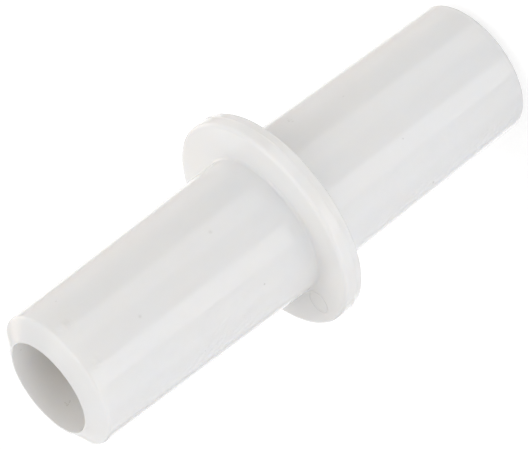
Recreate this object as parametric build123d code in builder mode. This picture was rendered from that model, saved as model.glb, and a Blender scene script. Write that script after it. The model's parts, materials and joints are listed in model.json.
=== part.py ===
from build123d import *
import math
import os

# Straight hose coupler, moulded in one piece: a tube with two equal tapered spigots
# and a collar half way along, which stops both hoses.
# The axis is +Z and the origin is the middle of the collar. All sizes are in millimetres.

# The hose that it takes, and how tightly
hose_bore = 19.0
entry_play = 0.2
root_grip = 0.8

# Tube
spigot_length = 36.0
wall_at_tip = 2.8

# Lead-in bevel at each end, and the flat ring left around the bore
lead_in_length = 1.5
rim_land = 0.2

# Collar, with a rim that tapers both ways from the mould's parting line
collar_width = 5.1
collar_thickness = 2.9
rim_draft_angle = 2.5
rim_round = 0.5
root_fillet = 0.4

# The spigot is a little slimmer than the hose's bore at its tip, and fatter at its root.
tip_radius = (hose_bore - entry_play) / 2
root_radius = (hose_bore + root_grip) / 2
bore_radius = tip_radius - wall_at_tip
land_radius = bore_radius + rim_land

# Heights above the middle of the collar
face_height = collar_thickness / 2
end_height = face_height + spigot_length
tip_height = end_height - lead_in_length

# The collar is widest at its parting line, half way up.
collar_radius = root_radius + collar_width
rim_edge_radius = collar_radius - face_height * math.tan(math.radians(rim_draft_angle))

with BuildPart() as coupler:
    with BuildSketch(Plane.XZ):
        # Upper half of the section, from the axis out, without the bore
        with BuildLine():
            Polyline(
                (0, 0),
                (0, end_height),
                (land_radius, end_height),
                (tip_radius, tip_height),
                (root_radius, face_height),
                (rim_edge_radius, face_height),
                (collar_radius, 0),
                close=True,
            )
        make_face()
        root_corner = vertices().sort_by_distance((root_radius, face_height))[0]
        fillet(root_corner, root_fillet)
        rim_corner = vertices().sort_by_distance((rim_edge_radius, face_height))[0]
        fillet(rim_corner, rim_round)
        mirror(about=Plane.XZ)
    revolve(axis=Axis.Z)
    Hole(bore_radius)

coupler.part.label = "coupler"
os.makedirs("parts", exist_ok=True)
export_step(coupler.part, "parts/coupler.step")
print(f"{2 * end_height:.1f} mm long, collar {2 * collar_radius:.1f} mm, bore {2 * bore_radius:.1f} mm")
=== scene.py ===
# %% [markdown]
# # A moulded hose coupler
#
# The object is a short white plastic tube that joins two hoses end to end. Each end is a smooth
# spigot that tapers a little, so that a hose slides on easily and then grips, and a collar half
# way along stops both hoses. It came out of a mould in one shot, so here it is one mesh: a
# section of the wall, turned round the axis as on a lathe.
#
# The script works in metres, in the same frame as the solid model: the axis is +Z and the origin
# is the middle of the collar. The first cell loads that model and keeps its box, because the
# finished looks may not grow out of it.

# %% Load the solid model
import json
import math

import bmesh
import bpy
from mathutils import Matrix, Vector


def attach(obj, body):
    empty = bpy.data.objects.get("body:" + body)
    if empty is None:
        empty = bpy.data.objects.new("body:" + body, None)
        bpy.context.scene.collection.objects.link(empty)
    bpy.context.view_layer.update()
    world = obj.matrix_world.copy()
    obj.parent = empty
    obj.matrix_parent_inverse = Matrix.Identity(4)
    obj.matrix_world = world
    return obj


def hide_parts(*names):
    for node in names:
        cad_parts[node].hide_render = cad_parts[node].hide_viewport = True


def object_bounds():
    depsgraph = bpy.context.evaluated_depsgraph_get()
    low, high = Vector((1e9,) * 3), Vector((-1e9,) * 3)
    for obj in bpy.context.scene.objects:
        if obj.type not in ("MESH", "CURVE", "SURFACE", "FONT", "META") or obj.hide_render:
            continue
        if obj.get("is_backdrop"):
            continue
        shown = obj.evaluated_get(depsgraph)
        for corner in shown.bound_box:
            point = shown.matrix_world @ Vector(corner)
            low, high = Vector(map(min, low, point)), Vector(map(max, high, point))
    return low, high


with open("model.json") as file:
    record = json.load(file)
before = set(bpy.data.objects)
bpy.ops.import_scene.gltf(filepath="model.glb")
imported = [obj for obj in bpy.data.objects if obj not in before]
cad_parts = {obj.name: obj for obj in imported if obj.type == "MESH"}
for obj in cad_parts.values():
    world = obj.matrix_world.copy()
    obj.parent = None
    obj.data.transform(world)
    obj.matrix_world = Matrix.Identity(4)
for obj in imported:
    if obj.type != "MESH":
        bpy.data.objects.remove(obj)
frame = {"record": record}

cad_low, cad_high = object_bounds()
mounts = {mount["name"]: mount for mount in frame["record"]["mounts"]}
print("solid model:", [round(1000 * side, 2) for side in cad_high - cad_low], "mm")

# %% [markdown]
# ## The section of the wall
#
# A turned shape is settled by its section: the outline that a cut along the axis would show.
# Only the corners matter at this stage. The ones that the model's box and its mounts already
# hold are read from there; the rest are the part's own sizes, in millimetres.
#
# The upper half runs from the bore's edge, over the bevel and down the spigot, out along the
# collar's face to the rim. The rim leans in a little from the mould's parting line, as the sides
# of anything do that has to slide out of a mould. The lower half is the same, upside down.

# %% Corners of the section
MM = 0.001
RIM_LAND = 0.2 * MM
TIP_RADIUS = 9.4 * MM
ROOT_RADIUS = 9.9 * MM
LEAD_IN = 1.5 * MM
RIM_DRAFT = math.radians(2.5)
FLASH_HEIGHT = 0.03 * MM
SEAM_HEIGHT = -0.25 * MM

end_height = cad_high.z
tip_height = end_height - LEAD_IN
face_height = mounts["upper_hose_stop"]["pos_m"][2]
bore_radius = mounts["flow_bore"]["dims"]["r_mm"] * MM
collar_radius = min(cad_high.x, cad_high.y, -cad_low.x, -cad_low.y)

mouth = (bore_radius, end_height)
land = (bore_radius + RIM_LAND, end_height)
tip = (TIP_RADIUS, tip_height)
root = (ROOT_RADIUS, face_height)
rim_edge = (collar_radius - face_height * math.tan(RIM_DRAFT), face_height)
seam = (collar_radius - FLASH_HEIGHT, SEAM_HEIGHT)
upper_half = [mouth, land, tip, root, rim_edge]
lower_half = [(radius, -height) for radius, height in reversed(upper_half)]
section = upper_half + [seam] + lower_half
print("section:", len(section), "corners")

# %% [markdown]
# ## Turning the section
#
# A lathe shape can be made with a Screw modifier, or with the spin operator. Spin is used here,
# because the rings that it leaves can then be picked by radius and height and rounded one by one.
# The section is a closed loop, so a full turn gives a closed wall with the bore in the middle.
# `use_merge` joins the last copy to the first, and the normals are set once the seam is closed.

# %% Spin the wall
TURN_STEPS = 240
WELD = 0.001 * MM

shell = bmesh.new()
corners = [shell.verts.new((radius, 0.0, height)) for radius, height in section]
sides = [shell.edges.new((a, b)) for a, b in zip(corners, corners[1:] + corners[:1])]
bmesh.ops.spin(
    shell, geom=corners + sides, cent=(0, 0, 0), axis=(0, 0, 1), dvec=(0, 0, 0),
    angle=2 * math.pi, steps=TURN_STEPS, use_merge=True,
)
bmesh.ops.remove_doubles(shell, verts=shell.verts, dist=WELD)
bmesh.ops.recalc_face_normals(shell, faces=shell.faces)
print("turned wall:", len(shell.verts), "vertices,", len(shell.faces), "faces")

# %% [markdown]
# ## Rounding the edges
#
# No edge of a moulding is sharp: steel moulds are cut with round tools, and plastic draws back as
# it cools. The round edges are also what the eye reads as plastic, because each one carries a
# thin line of light. Every ring of the section that is rounded gets its own radius.
#
# The bevel operator wants the distance from the old edge to the new one, not a radius. For a
# corner that turns by some angle, that distance is the radius times the tangent of half the turn.

# %% Bevel each ring with its own radius
TIP_ROUND = 0.45 * MM
ROOT_FILLET = 0.4 * MM
RIM_ROUND = 0.5 * MM
LAND_ROUND = 0.06 * MM
REACH = 0.002 * MM


def ring_edges(mesh, radius, height):
    """The edges of the ring at that radius and height."""
    def on_ring(vertex):
        x, y, z = vertex.co
        return abs(math.hypot(x, y) - radius) < REACH and abs(z - height) < REACH

    return [edge for edge in mesh.edges if all(on_ring(v) for v in edge.verts)]


def round_ring(mesh, before, corner, after, radius, segments):
    """Rounds the ring at a corner of the section, above and below the collar."""
    way_in = Vector(corner) - Vector(before)
    way_out = Vector(after) - Vector(corner)
    setback = radius * math.tan(way_in.angle(way_out) / 2)
    for side in (1, -1):
        bmesh.ops.bevel(
            mesh, geom=ring_edges(mesh, corner[0], side * corner[1]), offset=setback,
            offset_type="OFFSET", affect="EDGES", segments=segments, profile=0.5, material=-1,
        )
    print(f"radius {radius / MM:.2f} mm: new edges {setback / MM:.3f} mm from the corner")


round_ring(shell, land, tip, root, TIP_ROUND, segments=7)
round_ring(shell, tip, root, rim_edge, ROOT_FILLET, segments=8)
round_ring(shell, root, rim_edge, seam, RIM_ROUND, segments=7)
round_ring(shell, mouth, land, tip, LAND_ROUND, segments=2)

# %% [markdown]
# ## The line where the mould parted
#
# The two halves of the mould met a little below the middle of the rim, and a hair of plastic
# crept in between them. On the real part it shows as a fine bright thread round the collar. The
# ring at the seam is split into three by a narrow bevel, and the middle one is pushed out to the
# full radius.

# %% Raise the flash
FLASH_HALF_WIDTH = 0.1 * MM

split = bmesh.ops.bevel(
    shell, geom=ring_edges(shell, *seam), offset=FLASH_HALF_WIDTH, offset_type="OFFSET",
    affect="EDGES", segments=2, profile=0.5, material=-1,
)
crest = [v for v in split["verts"] if abs(v.co.z - SEAM_HEIGHT) < REACH]
for vertex in crest:
    vertex.co.xy *= collar_radius / vertex.co.xy.length
print("flash:", len(crest), "vertices raised by", round(FLASH_HEIGHT / MM, 3), "mm")

# %% [markdown]
# ## Holding the flats
#
# Smooth shading blends the normals of neighbouring faces. Beside a small round edge that would
# bend the light far into the long flat bands. So every broad band gets a narrow border along its
# edges: the blend then stays inside the border. `inset_region` makes both borders of a band at once.

# %% Give the broad bands a border
BORDER = 0.22 * MM
BROAD = 1.0 * MM


def section_length(face):
    """How far a face reaches along the section."""
    reach = [Vector((math.hypot(v.co.x, v.co.y), v.co.z)) for v in face.verts]
    return max((a - b).length for a in reach for b in reach)


bands = [face for face in shell.faces if section_length(face) > BROAD]
bmesh.ops.inset_region(shell, faces=bands, thickness=BORDER, use_boundary=True, use_even_offset=True)
bmesh.ops.recalc_face_normals(shell, faces=shell.faces)
print("borders beside", len(bands), "faces")

# %% [markdown]
# ## From operators to an object
#
# A bmesh is only a workbench. Here it becomes a mesh with an object round it, which stays at the
# origin because every point is already where it belongs. Smooth shading goes over everything, and
# only edges that turn by more than 35 degrees stay sharp, such as the two edges of the bore.
#
# Two calls at the end tie it to the solid model: it moves with the body, and it is shown in place
# of the solid.

# %% Make the coupler
SHARP_ANGLE = math.radians(35)

coupler_mesh = bpy.data.meshes.new("moulded_coupler")
shell.to_mesh(coupler_mesh)
shell.free()
coupler_mesh.shade_smooth()
coupler_mesh.set_sharp_from_angle(angle=SHARP_ANGLE)
coupler = bpy.data.objects.new("moulded_coupler", coupler_mesh)
bpy.context.scene.collection.objects.link(coupler)
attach(coupler, "root")
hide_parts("coupler")
print("coupler:", len(coupler_mesh.polygons), "faces")

# %% [markdown]
# ## A few words for node trees
#
# The finish, the table and the light are all node trees, and a few small functions keep them
# readable. `new_node` adds a node and fills its inputs. `clouds` is a noise texture that is told
# how wide its clouds are: Object coordinates are metres here, so a scale of 1000 would give clouds
# about a millimetre wide. `spread` takes one range of values to another, softly at both ends.
# `mixed` blends two colours. The Mix node keeps a set of sockets for every type of data, so the
# ones for colours are told by their number, not by their name.

# %% Helpers for node trees
MIX_SHARE, MIX_FIRST, MIX_SECOND = 0, 6, 7
MIX_RESULT = 2


def new_node(tree, kind, inputs=None, **settings):
    """Adds a node; an input is a value, or the output of another node."""
    made = tree.nodes.new(kind)
    for name, value in settings.items():
        setattr(made, name, value)
    for name, value in (inputs or {}).items():
        if isinstance(value, bpy.types.NodeSocket):
            tree.links.new(value, made.inputs[name])
        else:
            made.inputs[name].default_value = value
    return made


def clouds(tree, place, width, detail=2.0):
    """Noise with clouds of that width in metres."""
    inputs = {"Vector": place, "Scale": 1 / width, "Detail": detail}
    return new_node(tree, "ShaderNodeTexNoise", inputs).outputs["Fac"]


def spread(tree, value, low, high, least, most):
    """Takes the range low to high of a value to the range least to most."""
    limits = {"Value": value, "From Min": low, "From Max": high, "To Min": least, "To Max": most}
    ramp = new_node(tree, "ShaderNodeMapRange", limits, interpolation_type="SMOOTHSTEP")
    return ramp.outputs["Result"]


def mixed(tree, share, first, second):
    """Blends two colours: all first at a share of 0, all second at 1."""
    sockets = {MIX_SHARE: share, MIX_FIRST: first, MIX_SECOND: second}
    return new_node(tree, "ShaderNodeMix", sockets, data_type="RGBA").outputs[MIX_RESULT]


print("helpers:", [helper.__name__ for helper in (new_node, clouds, spread, mixed)])

# %% [markdown]
# ## White plastic
#
# The part is a plain white moulding compound. Three things make it look so. Its colour is not
# quite even: the melt flowed round the core and left faint warmer and cooler clouds. Its gloss
# comes from a polished mould, and the part was pushed out of it along its axis, so faint drag
# marks run lengthwise: a noise that is squeezed in Z comes out as long streaks. And light goes
# into it for some millimetres, red the furthest, so that the bore is lit through the wall with a
# warm light and shadows stay soft. The mirror level is half the usual one, which keeps the bands
# of light along the spigots faint.

# %% Colour, gloss and depth of the plastic
WARM_WHITE = (0.806, 0.797, 0.784, 1.0)
COOL_WHITE = (0.798, 0.798, 0.796, 1.0)
FLOW_WIDTH = 14 * MM
DRAG_WIDTH = 0.5 * MM
DRAG_SQUEEZE = (1.0, 1.0, 0.02)
NOISE_LOW, NOISE_HIGH = 0.35, 0.65
POLISHED, RUBBED = 0.09, 0.13
PLASTIC_IOR = 1.49
MIRROR_LEVEL = 0.25
LIGHT_INSIDE = 0.3
LIGHT_REACH = 8 * MM
REACH_BY_COLOUR = (1.0, 0.82, 0.62)

plastic = bpy.data.materials.new("white_plastic")
plastic.use_nodes = True
tree = plastic.node_tree
shader = tree.nodes["Principled BSDF"]
place = new_node(tree, "ShaderNodeTexCoord").outputs["Object"]
flow = spread(tree, clouds(tree, place, FLOW_WIDTH), NOISE_LOW, NOISE_HIGH, 0.0, 1.0)
white = mixed(tree, flow, WARM_WHITE, COOL_WHITE)

lengthwise = new_node(tree, "ShaderNodeMapping", {"Vector": place, "Scale": DRAG_SQUEEZE})
drag = clouds(tree, lengthwise.outputs["Vector"], DRAG_WIDTH, detail=3.0)
matt = spread(tree, drag, NOISE_LOW, NOISE_HIGH, POLISHED, RUBBED)
tree.links.new(matt, shader.inputs["Roughness"])
shader.inputs["IOR"].default_value = PLASTIC_IOR
shader.inputs["Specular IOR Level"].default_value = MIRROR_LEVEL
shader.inputs["Subsurface Weight"].default_value = LIGHT_INSIDE
shader.inputs["Subsurface Scale"].default_value = LIGHT_REACH
shader.inputs["Subsurface Radius"].default_value = REACH_BY_COLOUR
coupler_mesh.materials.append(plastic)
print("plastic:", len(tree.nodes), "nodes")

# %% [markdown]
# ## Specks and lint
#
# White plastic shows every grain of burnt resin and dust that went into the mould, and this part
# has a handful of them, each a fraction of a millimetre wide. Two bits of lint cling to it as
# well, one beside the collar and one in the bore, and each is drawn as a short row of specks.
#
# A point of the surface is given by its turn round the axis, from the camera's side toward +X,
# and its height. The shader measures how far every spot of the surface is from each of these
# points, and darkens what is near.

# %% Dark specks and lint
BROWN = (0.14, 0.10, 0.04, 1.0)
# Turn in degrees, height and width in millimetres, darkness
SPECKS = [
    (1, 26.2, 0.7, 0.14),
    (19, 11.9, 0.8, 0.12),
    (-37, 9.7, 0.4, 0.3),
    (-56, 20.3, 0.3, 0.3),
    (-65, -19.3, 0.5, 0.45),
    (-12, -16.8, 0.3, 0.3),
    (55, 32.0, 0.4, 0.16),
    (44, -15.0, 0.4, 0.14),
    (63, -8.1, 0.4, 0.1),
    (60, -7.9, 0.5, 0.14),
    (58, -7.7, 0.5, 0.14),
    (58, -8.1, 0.4, 0.12),
    (55, -7.9, 0.5, 0.12),
]
# The same for the wall of the bore
BORE_SPECKS = [
    (120, 36.0, 0.3, 0.3),
    (204, 34.5, 0.3, 0.22),
    (206, 34.5, 0.3, 0.22),
    (208, 34.6, 0.3, 0.28),
    (208, 34.4, 0.3, 0.22),
    (207, 34.1, 0.3, 0.22),
    (206, 33.9, 0.3, 0.28),
]


def on_wall(radius, turn, height):
    """The point at that radius and height in metres, and that turn in degrees."""
    angle = math.radians(turn)
    return (radius * math.sin(angle), -radius * math.cos(angle), height)


def on_spigot(turn, height):
    """The point of the spigots' surface at that turn in degrees and height in metres."""
    along = (abs(height) - face_height) / (tip_height - face_height)
    return on_wall(ROOT_RADIUS + along * (TIP_RADIUS - ROOT_RADIUS), turn, height)


def near_point(tree, place, point, width, most):
    """Falls from that most at a point to nothing at half the width from it."""
    away = new_node(tree, "ShaderNodeVectorMath", {0: place, 1: point}, operation="DISTANCE")
    return spread(tree, away.outputs["Value"], 0.0, width / 2, most, 0.0)


spots = [(on_spigot(turn, height * MM), *rest) for turn, height, *rest in SPECKS]
spots += [(on_wall(bore_radius, turn, height * MM), *rest) for turn, height, *rest in BORE_SPECKS]
dirt = 0.0
for point, width, darkness in spots:
    speck = near_point(tree, place, point, width * MM, darkness)
    dirt = new_node(tree, "ShaderNodeMath", {0: dirt, 1: speck}, operation="ADD").outputs[0]
tree.links.new(mixed(tree, dirt, white, BROWN), shader.inputs["Base Color"])
print("specks:", len(spots))

# %% [markdown]
# ## Fine relief
#
# The skin of the plastic is not optically flat. Four heights are stacked as bumps, each bending
# the normal that the one before has left. The drag marks and a broad, shallow waviness, like the
# skin of an orange, make the edges of the reflections waver. Two spots near the mouth are rubbed,
# where a hose has been pushed on. And a pin that pushed the part out of its mould has left its
# round outline on the collar's upper face: a ridge of a few hundredths of a millimetre, found as
# the spots of the surface that are just one radius away from the pin's centre.

# %% Bumps for the drag marks, the waviness, the rubbed spots and the pin's outline
DRAG_HEIGHT = 0.0003 * MM
PEEL_WIDTH = 1.6 * MM
PEEL_HEIGHT = 0.0012 * MM
RUB_WIDTH = 0.8 * MM
RUB_HEIGHT = 0.25 * MM
# Turn in degrees, height and width in millimetres
RUBS = [(30, 34.1, 2.6), (-7, 34.5, 2.6)]
PIN_CENTRE = (-11.9 * MM, 0.4 * MM, face_height)
PIN_RADIUS = 1.6 * MM
RIDGE_HALF_WIDTH = 0.2 * MM
RIDGE_HEIGHT = 0.06 * MM

rubbed = 0.0
for turn, height, width in RUBS:
    spot = near_point(tree, place, on_spigot(turn, height * MM), width * MM, 1.0)
    rubbed = new_node(tree, "ShaderNodeMath", {0: rubbed, 1: spot}, operation="ADD").outputs[0]
grain = clouds(tree, place, RUB_WIDTH, detail=1.0)
rub = new_node(tree, "ShaderNodeMath", {0: rubbed, 1: grain}, operation="MULTIPLY").outputs[0]

peel = clouds(tree, place, PEEL_WIDTH, detail=1.0)

from_pin = new_node(tree, "ShaderNodeVectorMath", {0: place, 1: PIN_CENTRE}, operation="DISTANCE")
past_ring = {0: from_pin.outputs["Value"], 1: PIN_RADIUS}
off_ring = new_node(tree, "ShaderNodeMath", past_ring, operation="SUBTRACT").outputs[0]
ring_gap = new_node(tree, "ShaderNodeMath", {0: off_ring}, operation="ABSOLUTE").outputs[0]
ridge = spread(tree, ring_gap, 0.0, RIDGE_HALF_WIDTH, 1.0, 0.0)

heights = [(drag, DRAG_HEIGHT), (peel, PEEL_HEIGHT), (rub, RUB_HEIGHT), (ridge, RIDGE_HEIGHT)]
facing = None
for relief, high in heights:
    bump = new_node(tree, "ShaderNodeBump", {"Height": relief, "Strength": 1.0, "Distance": high})
    if facing:
        tree.links.new(facing, bump.inputs["Normal"])
    facing = bump.outputs["Normal"]
tree.links.new(facing, shader.inputs["Normal"])
print("relief:", [round(1000 * high / MM, 1) for _, high in heights], "thousandths of a millimetre")

# %% [markdown]
# ## Table
#
# The part stands on its end on a plain white table. The camera sees the table mostly as its own
# white glow, so that it reads as a white background, and a share of it as a lit surface, so that
# the part still has its shadow. Mirror-like rays pass the table by: the plastic then mirrors the
# soft panels that stand all round it, as it would in a light tent.

# %% Floor
FLOOR_SIDE = 3.0
FLOOR_WHITE = (0.9, 0.9, 0.9, 1.0)
GLOW = 1.2
GLOW_SHARE = 0.65

table = bmesh.new()
bmesh.ops.create_grid(table, x_segments=1, y_segments=1, size=FLOOR_SIDE / 2)
bmesh.ops.translate(table, verts=table.verts, vec=(0, 0, cad_low.z))
table_mesh = bpy.data.meshes.new("table")
table.to_mesh(table_mesh)
table.free()
floor = bpy.data.objects.new("table", table_mesh)
bpy.context.scene.collection.objects.link(floor)
floor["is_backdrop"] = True
floor.visible_glossy = False

white_table = bpy.data.materials.new("white_table")
white_table.use_nodes = True
top = white_table.node_tree
top.nodes.clear()
lit = new_node(top, "ShaderNodeBsdfDiffuse", {"Color": FLOOR_WHITE})
glow = new_node(top, "ShaderNodeEmission", {"Strength": GLOW})
seen = new_node(top, "ShaderNodeLightPath").outputs["Is Camera Ray"]
share = new_node(top, "ShaderNodeMath", {0: seen, 1: GLOW_SHARE}, operation="MULTIPLY").outputs[0]
blend = new_node(top, "ShaderNodeMixShader", {0: share, 1: lit.outputs[0], 2: glow.outputs[0]})
new_node(top, "ShaderNodeOutputMaterial", {"Surface": blend.outputs[0]})
table_mesh.materials.append(white_table)
print("table:", FLOOR_SIDE, "m wide, at height", round(cad_low.z / MM, 2), "mm")

# %% [markdown]
# ## Light
#
# The light is a tent of soft round panels, painted on the world. Each panel is a cone of
# directions: full inside, and fading to nothing at its rim. The high panels light the part. The
# low ones, under the level of the table, only show as the bands of light along the spigots.

# %% Soft panels all round
PLAIN = (1.0, 1.0, 1.0, 1.0)
WARM = (1.0, 0.94, 0.87, 1.0)
AMBER = (1.0, 0.85, 0.74, 1.0)
COOL = (0.95, 0.96, 1.0, 1.0)
# Turn from the camera's side toward +X, height over the horizon and half width in degrees,
# share of the width at full strength, strength, tint
PANELS = [
    ("sky", 0, 90, 92, 0.97, 0.35, PLAIN),
    ("key", 80, 65, 28, 0.4, 2.5, PLAIN),
    ("right front", 30, 40, 26, 0.4, 1.5, PLAIN),
    ("right", 60, 8, 25, 0.4, 1.2, WARM),
    ("right back", 140, 8, 25, 0.4, 1.8, AMBER),
    ("back", 185, 30, 32, 0.4, 0.5, PLAIN),
    ("back foot", 185, 8, 28, 0.4, 0.5, PLAIN),
    ("left back", 240, 35, 32, 0.4, 0.4, WARM),
    ("left side", 265, 8, 25, 0.4, 1.1, PLAIN),
    ("left", 300, 8, 25, 0.4, 3.6, COOL),
    ("low left band", -34, -25, 16, 0.88, 3.9, PLAIN),
    ("low left", -72, -25, 24, 0.6, 1.5, PLAIN),
    ("low left back", -120, -25, 24, 0.6, 0.7, PLAIN),
    ("low left rear", -152, -25, 18, 0.6, 0.1, WARM),
    ("low front", 3, -25, 22, 0.8, 0.9, PLAIN),
    ("low right band", 38, -25, 16, 0.88, 2.4, PLAIN),
    ("low right", 120, -25, 24, 0.6, 0.6, AMBER),
    ("low right rear", 150, -25, 18, 0.6, 0.25, WARM),
    ("low back", 180, -32, 36, 0.6, 1.1, PLAIN),
    ("ground", 0, -80, 50, 0.6, 0.9, PLAIN),
]

tent = bpy.data.worlds.new("light_tent")
tent.use_nodes = True
bpy.context.scene.world = tent
sky = tent.node_tree
sky.nodes.clear()
toward = new_node(sky, "ShaderNodeTexCoord").outputs["Generated"]
light = None
for name, turn, height, half_width, full, strength, tint in PANELS:
    turn = math.radians(turn)
    height = math.radians(height)
    centre = (math.cos(height) * math.sin(turn), -math.cos(height) * math.cos(turn), math.sin(height))
    aligned = new_node(sky, "ShaderNodeVectorMath", {0: toward, 1: centre}, operation="DOT_PRODUCT")
    rim = math.cos(math.radians(half_width))
    inside = math.cos(math.radians(half_width * full))
    power = spread(sky, aligned.outputs["Value"], rim, inside, 0.0, strength)
    glowing = {"Color": tint, "Strength": power}
    panel = new_node(sky, "ShaderNodeBackground", glowing, label=name).outputs[0]
    light = new_node(sky, "ShaderNodeAddShader", {0: light, 1: panel}).outputs[0] if light else panel
backdrop = new_node(sky, "ShaderNodeBackground", {"Color": PLAIN, "Strength": 1.0})
looked_at = new_node(sky, "ShaderNodeLightPath").outputs["Is Camera Ray"]
seen_sky = new_node(sky, "ShaderNodeMixShader", {0: looked_at, 1: light, 2: backdrop.outputs[0]})
new_node(sky, "ShaderNodeOutputWorld", {"Surface": seen_sky.outputs[0]})
print("light:", len(PANELS), "panels")

# %% [markdown]
# ## Camera
#
# The photograph looks down on the part from about 25 degrees, through a long lens from half a
# metre away, with the picture turned so that the part lies across it. The middle of the collar is
# a little off the picture's centre, so the camera is moved aside by that many pixels, measured at
# the part's distance.

# %% Place the camera
IMAGE_WIDTH, IMAGE_HEIGHT = 529, 450
COLLAR_PIXEL = (270.7, 219.0)
VIEW_DISTANCE = 0.4792
VIEW_ELEVATION = math.radians(25.24)
PICTURE_TURN = math.radians(37.23)
FOCAL_PIXELS = 3825.6
SENSOR = 36.0
NEAR, FAR = 0.01, 10.0

back = Vector((0, -math.cos(VIEW_ELEVATION), math.sin(VIEW_ELEVATION)))
axis_seen = Vector((0, math.sin(VIEW_ELEVATION), math.cos(VIEW_ELEVATION)))
across = Vector((1, 0, 0))
right = -math.sin(PICTURE_TURN) * across - math.cos(PICTURE_TURN) * axis_seen
up = math.cos(PICTURE_TURN) * across - math.sin(PICTURE_TURN) * axis_seen
pixel = VIEW_DISTANCE / FOCAL_PIXELS
aside = (COLLAR_PIXEL[0] - IMAGE_WIDTH / 2) * pixel
below = (COLLAR_PIXEL[1] - IMAGE_HEIGHT / 2) * pixel
eye = VIEW_DISTANCE * back - aside * right + below * up

lens = bpy.data.cameras.new("camera")
lens.sensor_width = SENSOR
lens.lens = FOCAL_PIXELS / IMAGE_WIDTH * SENSOR
lens.clip_start = NEAR
lens.clip_end = FAR
camera = bpy.data.objects.new("camera", lens)
camera.matrix_world = Matrix.Translation(eye) @ Matrix((right, up, back)).transposed().to_4x4()
bpy.context.scene.collection.objects.link(camera)
bpy.context.scene.camera = camera
bpy.context.scene.view_settings.view_transform = "Standard"
print("camera at", [round(1000 * side) for side in eye], "mm, lens", round(lens.lens), "mm")

# %% [markdown]
# ## Last look at the size
#
# The last cell measures the box round the finished coupler, as the first did for the solid model.
# The finished mesh has to stay inside the box of the solid model that it stands for.

# %% Measure the finished box
low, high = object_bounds()
